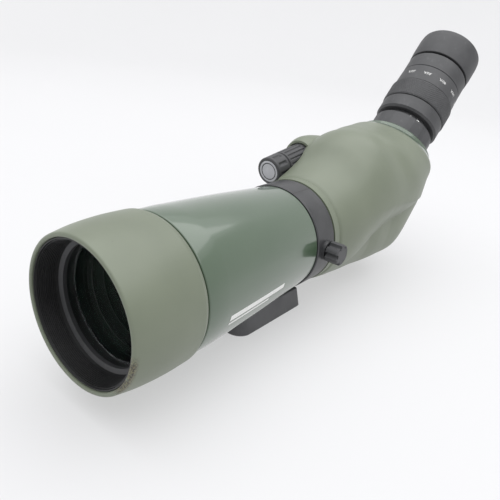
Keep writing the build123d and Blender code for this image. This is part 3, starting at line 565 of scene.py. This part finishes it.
def fluted_bar():
    """A knob blank about Z with eased edges, whose flutes fade out at a margin from its ends."""
    bar = Tree(
        "fluted_bar", Radius=0.01, Length=0.02, Flutes=12, Depth=0.001, Width=0.5, Ease=0.0008,
        Margin=0.002,
    )
    length, ease, margin = bar.given("Length"), bar.given("Ease"), bar.given("Margin")
    blank = bar.node(
        "GeometryNodeMeshCylinder", Vertices=240, Side_Segments=48, Fill_Segments=6,
        Radius=bar.given("Radius"), Depth=length,
    )
    place = bar.node("GeometryNodeInputPosition")
    parts = [bar.node("ShaderNodeSeparateXYZ", output=k, Vector=place) for k in range(3)]
    angle = parts[1].by("ARCTAN2", parts[0])
    wave = (angle * bar.given("Flutes")).by("COSINE")
    groove = (wave - bar.given("Width")).by("MAXIMUM", 0.0) / (1 - bar.given("Width"))
    groove = groove.by("POWER", 0.6)
    inset = length * 0.5 - abs(parts[2])
    run_out = (inset - margin) / RUN_OUT
    run_out = run_out.by("MAXIMUM", 0.0).by("MINIMUM", 1.0)
    edge = (ease - inset).by("MAXIMUM", 0.0)
    radial = (parts[0] * parts[0] + parts[1] * parts[1]).by("SQRT")
    on_side = radial.by("GREATER_THAN", bar.given("Radius") * 0.99)
    drop = (groove * run_out * bar.given("Depth") + edge * edge / ease) * on_side
    scale = 0 - drop / radial.by("MAXIMUM", 1e-6)
    offset = bar.vector(parts[0] * scale, parts[1] * scale)
    shaped = bar.node("GeometryNodeSetPosition", Geometry=blank, Offset=offset)
    bar.close(shaped)
    return bar


def diamond_grip():
    """Rows of small pyramids round a cylinder about Z."""
    grip = Tree("diamond_grip", Radius=0.029, Length=0.016, Rows=8, Columns=84, Bite=0.0004)
    rows, columns = grip.given("Rows"), grip.given("Columns")
    count = rows * columns
    points = grip.node("GeometryNodePoints", Count=count, Position=grip.vector())
    index = grip.node("GeometryNodeInputIndex")
    row = (index / columns).by("FLOOR")
    stagger = row.by("MODULO", 2.0) * 0.5
    angle = (index.by("MODULO", columns) + stagger) * (2 * pi) / columns
    radius = grip.given("Radius")
    height = ((row + 0.5) / rows - 0.5) * grip.given("Length")
    place = grip.vector(radius * angle.by("COSINE"), radius * angle.by("SINE"), height)
    points = grip.node("GeometryNodeSetPosition", Geometry=points, Position=place)
    tooth = grip.node(
        "GeometryNodeMeshCone", Vertices=4, Radius_Top=grip.given("Bite") * 0.9,
        Radius_Bottom=grip.given("Length") / rows * 0.95, Depth=grip.given("Bite"),
    )
    turn = grip.node("FunctionNodeAlignRotationToVector", {"axis": "Z"}, Vector=grip.vector(
        angle.by("COSINE"), angle.by("SINE")
    ))
    studs = grip.node("GeometryNodeInstanceOnPoints", Points=points, Instance=tooth, Rotation=turn)
    grip.close(studs)
    return grip


# ================================================================ sunshade and objective
def hood():
    belly = bowed([
        (1.0, HOOD_RIM_R + 0.2), (HOOD_LENGTH * 0.28, HOOD_BELLY_R - 0.8), (HOOD_LENGTH * 0.6, HOOD_BELLY_R),
        (HOOD_LENGTH - 4.2, HOOD_BELLY_R - 0.3),
    ], 9)
    rear = rounded([
        (HOOD_LENGTH - 8, HOOD_BELLY_R), (HOOD_LENGTH - 3.0, HOOD_BELLY_R - 0.4, 0.5),
        (HOOD_LENGTH, HOOD_REAR_R - 0.3, 0.4), (HOOD_LENGTH, HOOD_BORE_R), (SLEEVE_REAR, HOOD_BORE_R),
    ])[1:]
    lip = rounded([
        (10, HOOD_BORE_R), (0, HOOD_BORE_R, 0.9), (0, HOOD_RIM_R + 0.1, 1.4), (10, HOOD_RIM_R + 1.2)
    ])[1:-1]
    outline = [(SLEEVE_REAR, SLEEVE_R), (2.0, SLEEVE_R), (2.0, HOOD_BORE_R), *lip, *belly[2:], *rear]
    shell = turned("hood_shell", MAIN, outline)
    # the sighting rib: a low rounded bar on the focus knobs' side
    half_width, height, start, stop = 4.25, 3.2, 3.0, 3.0 + HOOD_LENGTH * 0.75
    outwards, sideways = MAIN.outwards(RIB_ANGLE), MAIN.outwards(RIB_ANGLE + 90)
    section = rounded([
        (HOOD_RIM_R - 1.5, -half_width), (HOOD_RIM_R + height, -half_width, 1.2),
        (HOOD_RIM_R + height, half_width, 1.2), (HOOD_RIM_R - 1.5, half_width),
    ])
    # the rib's ends sink into the sunshade
    ends = ((start, 1.4), (start + 0.5, 0.5), (start + 1.4, 0.0), (stop - 3.0, 0.0), (stop, 0.9))
    rings = []
    for station, sink in ends:
        rings.append([
            (MAIN.origin + MAIN.along * station + outwards * (r - sink) + sideways * across) * MM
            for r, across in section
        ])
    rib = grid_mesh("sighting_rib", rings, caps=True)
    piece("hood_armour", joined("hood_armour", shell, rib), "sunshade", "armour_rubber", hood_rubber,
          "sunshade_armour")


def main_tube():
    waist = TUBE_WAIST
    skin = bowed([
        (waist, TUBE_FRONT_R), ((waist + TUBE_SHOULDER) / 2, (TUBE_FRONT_R + TUBE_REAR_R) / 2 + TUBE_BULGE),
        (TUBE_SHOULDER - 0.4, TUBE_REAR_R),
    ], 14)
    front = rounded([
        (TUBE_FRONT, BARREL_R), (TUBE_FRONT, TUBE_FRONT_R, 0.9), (waist, TUBE_FRONT_R),
    ])[:-1]
    outline = [
        *front, *skin, (TUBE_SHOULDER, TUBE_REAR_R - 0.4), (TUBE_SHOULDER, JOURNAL_R),
        (JOURNAL_REAR, JOURNAL_R), (JOURNAL_REAR, JOURNAL_BORE_R), (TUBE_SHOULDER - 2.4, JOURNAL_BORE_R),
        (TUBE_SHOULDER - 5, TUBE_REAR_R - TUBE_WALL), (waist + 4, TUBE_FRONT_R - TUBE_WALL),
        (TUBE_FRONT + 11, TUBE_FRONT_R - TUBE_WALL), (TUBE_FRONT + 11, BARREL_R),
    ]
    made = piece("tube_shell", turned("tube_shell", MAIN, outline, 224), "scope", "tube_paint",
                 finishes["tube_paint"], "main_tube")
    made.data.materials.append(finishes["interior_black"])
    for face in made.data.polygons:
        middle = face.center / MM - MAIN.origin
        inside = Vector((middle.x, middle.z)).length < TUBE_REAR_R - TUBE_WALL / 2
        face.material_index = 1 if inside else 0


def painted_tube_reflections():
    """Two painted reflections: thin white streaks standing for light mirrored in the glossy tube's left
    side, as the user sees it.
    """
    bands = []
    for low, high, start, stop in ((-13.5, -8.5, 66.0, 119.0), (-17.6, -15.6, 66.0, 104.0)):
        rings = []
        for step in range(33):
            station = start + (stop - start) * step / 32
            along = (station - TUBE_WAIST) / (TUBE_SHOULDER - TUBE_WAIST)
            along = min(max(along, 0.0), 1.0)
            bow = 4 * TUBE_BULGE * along * (1 - along)
            radius = TUBE_FRONT_R + (TUBE_REAR_R - TUBE_FRONT_R) * along + bow
            ring = [MAIN.at(station, radius + 0.03, low + (high - low) * k / 8) for k in range(9)]
            ring += [MAIN.at(station, radius - 0.2, low + (high - low) * k / 8) for k in range(8, -1, -1)]
            rings.append(ring)
        bands.append(grid_mesh("painted_reflection_streak", rings, caps=True))
    # painted reflection: white streaks laid on the enamel in place of mirrored light
    piece("painted_tube_reflections", joined("painted_tube_reflections", *bands), "scope", "tube_paint", ink_and_painted_reflection)


# ================================================================ prism housing
def between(knots, place):
    """Straight-line value at a place from (place, value) knots."""
    for (a, low), (b, high) in zip(knots, knots[1:]):
        if place <= b:
            return low + (high - low) * min(max((place - a) / (b - a), 0.0), 1.0)
    return knots[-1][1]


# side creases as (station, rise): the upper one, the ridge below it, and where both end
UPPER_CREASE = ((190, 15.0), (247, 19.5), (312, 14.0), (340, 13.0))
LOWER_RIDGE = ((190, -34.0), (213, -20.0), (232, -8.0), (248, 1.0), (280, 6.5), (312, 12.0), (340, 12.0))
CREASE_END = Vector((312, 12))
REAR_FACET = Vector((0.50, -0.87))
CREASE_DEPTH = 7.5
CREASE_SLOPE = 0.52
SQUARENESS = 0.28


def flank_inset(station, rise):
    """How far the moulded facets draw the housing's sides in, in millimetres."""
    fade = between(((192, 0.0), (236, 1.0), (400, 1.0)), station)
    upper = between(UPPER_CREASE, station)
    ridge = upper - between(LOWER_RIDGE, station)
    below = upper - rise
    deepest = min(CREASE_SLOPE * ridge, CREASE_DEPTH)
    inset = 0.0
    if below > 0:
        inset = fade * between(((0, 0), (ridge, deepest), (ridge + 34, 0.4), (400, 0.4)), below)
    behind = (Vector((station, rise)) - CREASE_END).dot(REAR_FACET)
    facet = min(max(behind, 0.0) * 0.3, 2.4) * between(((296, 0.0), (306, 1.0)), station)
    return max(inset, facet)


def elbow(reach):
    lean = radians(EYEPIECE_LEAN)
    return CROSSING_STATION + reach * cos(lean), reach * sin(lean)


HALF_LEAN = EYEPIECE_LEAN / 2
HOUSING_SECTIONS = (
    (HOUSING_FRONT, 0, 0, NECK_R, NECK_R, NECK_R),
    (HOUSING_FRONT + NECK_LENGTH, 0, 0, NECK_R, NECK_R, NECK_R),
    (HOUSING_FRONT + 0.31 * CROSSING, 0, HALF_LEAN * 0.1, NECK_R + 4.5, NECK_R + 10.0, NECK_R + 3.0),
    (HOUSING_FRONT + 0.53 * CROSSING, 0, HALF_LEAN * 0.4, NECK_R + 7.0, NECK_R + 21.5, NECK_R + 4.0),
    (HOUSING_FRONT + 0.77 * CROSSING, 0, HALF_LEAN * 0.7, NECK_R + 8.5, NECK_R + 30.0, NECK_R + 5.5),
    (CROSSING_STATION, 0, HALF_LEAN, NECK_R + 9.0, NECK_R + 34.5, NECK_R + 6.0),
    (*elbow(25.0), EYEPIECE_LEAN * 0.8, NECK_R + 7.8, NECK_R + 23.5, NECK_R + 4.0),
    (*elbow(PORT_STATION - 15), EYEPIECE_LEAN * 0.955, PORT_R + 7.0, PORT_R + 13.6, PORT_R + 2.6),
    (*elbow(PORT_STATION - 6), EYEPIECE_LEAN, PORT_R + 5.0, PORT_R + 7.0, PORT_R + 1.6),
    (*elbow(PORT_STATION), EYEPIECE_LEAN, PORT_R, PORT_R, PORT_R),
)
COWL_SECTIONS = (
    (46.5, 39.1, 12.9),
    (54.0, 40.2, 14.3),
    (68.0, 38.2, 15.8),
    (86.0, 35.0, 15.5),
    (106.0, 31.0, 10.0),
)


def housing_solid(inset, overrun, segments=232, steps=16):
    """The housing's form without its cowl, drawn in by a wall thickness and lengthened past both ends."""
    sections = bowed(HOUSING_SECTIONS[1:], steps)
    neck_edge = HOUSING_FRONT + NECK_LENGTH
    first = (HOUSING_FRONT - overrun, *HOUSING_SECTIONS[0][1:])
    sections = [first, (neck_edge - 0.5, *HOUSING_SECTIONS[0][1:]), *sections]
    if overrun:
        station, rise = elbow(PORT_STATION + overrun)
        sections.append((station, rise, *HOUSING_SECTIONS[-1][2:]))
    rings = []
    for station, rise, lean, half_width, above, below in sections:
        step_up = 0.9 * between(((neck_edge - 0.4, 0), (neck_edge + 0.5, 1), (250, 1), (290, 0)), station)
        up = Vector((0, -sin(radians(lean)), cos(radians(lean))))
        ring = []
        for k in range(segments):
            angle = 2 * pi * k / segments
            height = (above + below) / 2 - inset + step_up
            offset = up * (height * sin(angle) + (above - below) / 2)
            place = spot(0, station, rise) + offset
            side = (half_width - inset + step_up) * cos(angle)
            if sin(angle) < 0:
                squareness = between(((196, 0.0), (262, SQUARENESS), (400, SQUARENESS)), station)
                squareness *= between(((0, 1.0), (40, 1.0), (62, 0.0)), (station - CROSSING_STATION) + rise)
                side *= max(abs(cos(angle)), 1e-6) ** -squareness
            crease = flank_inset(place.y + SOCKET_STATION, place.z - AXIS_HEIGHT)
            side *= 1 - min(crease / half_width, 0.3) * between(((0, 0), (0.35, 1), (1, 1)), abs(cos(angle)))
            ring.append((place + Vector((side, 0, 0))) * MM)
        rings.append(ring)
    return grid_mesh("housing_solid", rings, caps=True)


def cowl_solid(inset, segments=96, steps=10):
    """The cowl that shelters the focus knobs."""
    rings = []
    for setback, rise, radius in bowed(COWL_SECTIONS, steps):
        centre = spot(FOCUS_X, HOUSING_FRONT + setback, rise)
        rings.append([
            (centre + Vector((cos(t), 0, sin(t))) * (radius - inset)) * MM
            for t in (2 * pi * k / segments for k in range(segments))
        ])
    return grid_mesh("cowl_solid", rings, caps=True)


def combined(name, mesh, *steps):
    """Booleans in turn: each step is an operation and the mesh it takes."""
    made = holder(name, mesh)
    tools = []
    for operation, other in steps:
        tool = holder(name + "_tool", other)
        tools.append(tool)
        modifier = made.modifiers.new(operation, "BOOLEAN")
        modifier.operation = operation
        modifier.solver = "EXACT"
        modifier.object = tool
    result = evaluated(made)
    for tool in tools:
        bpy.data.objects.remove(tool)
    return result


def housing():
    def form(inset, overrun):
        recess_r = KNOB_RECESS_R + inset
        front, rear = -RECESS_LEAD - inset, RECESS_REAR + inset
        recess = turned(
            "recess", FOCUS, [(front, 0), (front, recess_r), (rear, recess_r), (rear, 0)], 96
        )
        return combined("form", housing_solid(inset, overrun), ("UNION", cowl_solid(inset)),
                        ("DIFFERENCE", recess))

    def wall(name, outer, inner, slot, node):
        """The wall between two of the form's depths, with the boolean's slivers merged."""
        mesh = combined(name, form(outer, 0.0), ("DIFFERENCE", form(inner, 0.6)))
        sheet = bmesh.new()
        sheet.from_mesh(mesh)
        bmesh.ops.remove_doubles(sheet, verts=sheet.verts, dist=5e-6)
        bmesh.ops.dissolve_degenerate(sheet, edges=sheet.edges, dist=5e-6)
        sheet.to_mesh(mesh)
        sheet.free()
        return piece(name, mesh, "scope", slot, finishes[slot], node, sharp=28)

    shell = wall("housing_shell", 0, ARMOUR_WALL, "armour_rubber", "housing_armour")
    wall("housing_casting", ARMOUR_WALL + 0.02, ARMOUR_WALL + CASTING_WALL, "casting", "prism_housing")
    # the rear end next to the port is enamelled
    shell.data.materials.append(finishes["tube_paint"])
    for face in shell.data.polygons:
        if (face.center / MM - EYE.origin).dot(EYE.along) > ENAMEL_STATION:
            face.material_index = 1


# ================================================================ knobs
def knobs():
    bar = fluted_bar()

    def knob(name, line, front, length, radius, body, slot, *nodes, **sizes):
        placing = line.matrix(front + length / 2)
        mesh = bar.grow(name, finishes[slot], placing, Radius=radius * MM, Length=length * MM, **sizes)
        return piece(name, mesh, body, slot, finishes[slot], *nodes, sharp=40)

    knob("fine_knob_grip", FOCUS, 0.0, FINE_LENGTH, KNOB_R, "fine_focus", "black_rubber", "fine_knob",
         Flutes=9, Depth=0.0012, Width=0.20, Ease=0.0009, Margin=0.0022)
    knob("coarse_knob_grip", FOCUS, COARSE_FRONT, COARSE_LENGTH, KNOB_R, "coarse_focus", "black_rubber",
         "coarse_knob", Flutes=18, Depth=0.0008, Width=0.15, Ease=0.0009, Margin=0.0018)
    knob("collar_lock_grip", LOCK, LOCK_FRONT, LOCK_LENGTH, LOCK_KNOB_R, "lock", "black_plastic",
         "lock_knob",
         Flutes=6, Depth=0.0019, Width=0.05, Ease=0.0008, Margin=-0.002)
    disc = turned("knob_face", FOCUS, rounded([
        (-0.05, 0), (-0.05, 5.6), (0.12, 5.8), (0.12, 6.3), (-0.05, 6.5), (-0.05, 7.9, 0.2),
        (0.4, 8.0), (0.4, 0),
    ]), 96)
    piece("knob_face", disc, "fine_focus", "disc_grey", finishes["disc_grey"], "knob_disc")


# ================================================================ eyepiece
def zoom_grip_piece():
    core = turned("grip_core", EYE, rounded([
        (ZOOM_FRONT, ZOOM_R), (ZOOM_FRONT, ZOOM_GRIP_R - 0.5, 0.5), (ZOOM_FRONT + 9, ZOOM_GRIP_R - 0.45),
        (GRIP_REAR - 2.4, ZOOM_GRIP_R - 0.5, 0.4), (GRIP_REAR, ZOOM_GRIP_R - 1.2, 0.3), (GRIP_REAR, ZOOM_R),
    ]))
    length = STUDDED_LENGTH
    studs = diamond_grip().grow(
        "grip_diamonds", finishes["black_rubber"], EYE.matrix(ZOOM_FRONT + STUDS_SETBACK + length / 2),
        Radius=(ZOOM_GRIP_R - 0.35) * MM, Length=length * MM, Rows=11, Columns=92, Bite=0.00035,
    )
    piece("zoom_grip_rubber", joined("zoom_grip_rubber", core, studs), "zoom", "black_rubber",
          finishes["black_rubber"], "zoom_grip")


def eyecup():
    """The eyecup's rubber, rolled over the end of its core."""
    end = CUP_REAR
    outline = rounded([
        (CUP_FRONT, CORE_R), (CUP_FRONT, CUP_R - 0.6, 0.5), (CUP_FRONT + 8, CUP_R - 0.1),
        (end - 6, CUP_R - 0.05), (end - 0.3, CUP_R - 0.6, 1.8), (end, CUP_R - 4.6, 0.4),
        (CORE_TOP + 0.1, CUP_R - 5.2), (CORE_TOP + 0.1, CORE_R),
    ])
    piece("eyecup_skin", turned("eyecup_skin", EYE, outline), "eyecup", "black_rubber",
          finishes["black_rubber"], "eyecup_rubber")


INK_HEIGHT = 0.12


def wrapped_text(words, station, angle, height, line, radius, proud=0.05):
    """Raised characters that read round a ring, seen from outside it."""
    curve = bpy.data.curves.new("characters", "FONT")
    curve.body = words
    curve.align_x = "CENTER"
    curve.align_y = "CENTER"
    curve.size = height * MM
    curve.extrude = INK_HEIGHT * MM
    curve.resolution_u = 3
    made = holder("characters", curve)
    mesh = evaluated(made)
    for vertex in mesh.vertices:
        across, along, out = (value / MM for value in vertex.co)
        turn = angle + across / radius * 180 / pi
        vertex.co = line.at(station - along, radius + proud + out - INK_HEIGHT, turn)
    return mesh


NUMBER_STEP = 31.0
FIRST_NUMBER_ANGLE = 110.5
NUMBER_HEIGHT = 4.2
NUMBER_R = 27.62


def dial_numbers():
    marks = []
    for index, value in enumerate(("20X", "30X", "40X", "50X", "60X")):
        angle = FIRST_NUMBER_ANGLE - NUMBER_STEP * index
        marks.append(wrapped_text(value, NUMBER_STATION, angle, NUMBER_HEIGHT, EYE, NUMBER_R))
    piece("zoom_numbers", joined("zoom_numbers", *marks), "zoom", "black_anodised", ink_and_painted_reflection)


def lock_marks():
    """Two index marks painted on the lock collar's top edge."""
    bars = []
    for angle, width in ((66.0, 2.2), (50.0, 5.5)):
        ring = []
        for station, radius in (
            (LOCK_COLLAR_STOP - 1.3, 26.2), (LOCK_COLLAR_STOP - 1.3, 26.72), (LOCK_COLLAR_STOP - 0.2, 26.25),
            (LOCK_COLLAR_STOP - 0.2, 25.8),
        ):
            ring.append([EYE.at(station, radius, angle + width * (k / 6 - 0.5)) for k in range(7)])
        columns = [[row[k] for row in ring] for k in range(7)]
        bars.append(grid_mesh("mark", columns, caps=True))
    piece("lock_marks", joined("lock_marks", *bars), "eyepiece_lock", "black_anodised", ink_and_painted_reflection)


# ================================================================ build
hood()
main_tube()
# the tube's painted reflection streaks
painted_tube_reflections()
housing()
knobs()
zoom_grip_piece()
dial_numbers()
lock_marks()
eyecup()

NODE_FINISH = {
    "tripod_collar": collar_black, "foot": foot_black, "retaining_ring": baffle_grey,
    "element_spacer": finishes["chrome"], "nosepiece": finishes["black_anodised"],
}
for name, node in frame["nodes"].items():
    material = NODE_FINISH.get(name) or finishes[slot_of.get(name, "black_anodised")]
    node.data.materials.clear()
    node.data.materials.append(material)

# ================================================================ floor, light and camera
FLOOR_R, SWEEP_R, WALL_TOP = 1.3, 0.5, 1.5


def floor():
    """A pale floor that sweeps up into a backdrop all round."""
    profile = [(0.0, 0.0), (FLOOR_R, 0.0)]
    profile += [
        (FLOOR_R + SWEEP_R * sin(t), SWEEP_R * (1 - cos(t))) for t in (radians(a) for a in range(9, 91, 9))
    ]
    profile.append((FLOOR_R + SWEEP_R, WALL_TOP))
    rings = [
        [Vector((r * cos(2 * pi * k / 96), r * sin(2 * pi * k / 96), z)) for k in range(96)]
        for r, z in profile[1:]
    ]
    mesh = grid_mesh("floor", rings)
    sheet = bmesh.new()
    sheet.from_mesh(mesh)
    bmesh.ops.holes_fill(sheet, edges=[e for e in sheet.edges if e.is_boundary and e.verts[0].co.z < 0.01])
    bmesh.ops.recalc_face_normals(sheet, faces=sheet.faces)
    sheet.to_mesh(mesh)
    sheet.free()
    mesh.polygons.foreach_set("use_smooth", [True] * len(mesh.polygons))
    made = holder("floor", mesh)
    paper = Finish(
        "paper", Roughness=0.85, Specular_IOR_Level=0.15,
        Emission_Color=(1.0, 1.0, 1.0, 1.0), Emission_Strength=0.44,
    )
    tone = paper.noise(300, 2)
    paper.set("Base Color", paper.blend(tone, (0.338, 0.338, 0.344), (0.326, 0.326, 0.332)))
    mesh.materials.append(paper.material)


def area_light(name, place, target, size, power):
    light = bpy.data.lights.new(name, "AREA")
    light.shape = "SQUARE"
    light.size = size
    light.energy = power
    made = bpy.data.objects.new(name, light)
    made.location = place
    made.rotation_euler = (Vector(target) - Vector(place)).to_track_quat("-Z", "Y").to_euler()
    bpy.context.scene.collection.objects.link(made)


floor()
area_light("overhead", (0.1, 0.1, 1.5), (0, 0, 0), 2.2, 22.0)

world = bpy.data.worlds.new("studio")
world.use_nodes = True
world.node_tree.nodes["Background"].inputs["Color"].default_value = (0.97, 0.975, 1.0, 1)
world.node_tree.nodes["Background"].inputs["Strength"].default_value = 1.2
bpy.context.scene.world = world
bpy.context.scene.view_settings.view_transform = "Standard"

lens = bpy.data.cameras.new("camera")
lens.lens = 39.02
lens.sensor_width = 36.0
lens.clip_start = 0.01
camera = bpy.data.objects.new("camera", lens)
camera.matrix_world = Matrix((
    (0.77294, -0.35568, 0.52541, 0.1861),
    (0.62116, 0.25543, -0.74089, -0.2797),
    (0.12931, 0.89903, 0.41836, 0.20274),
    (0, 0, 0, 1),
))
bpy.context.scene.collection.objects.link(camera)
bpy.context.scene.camera = camera
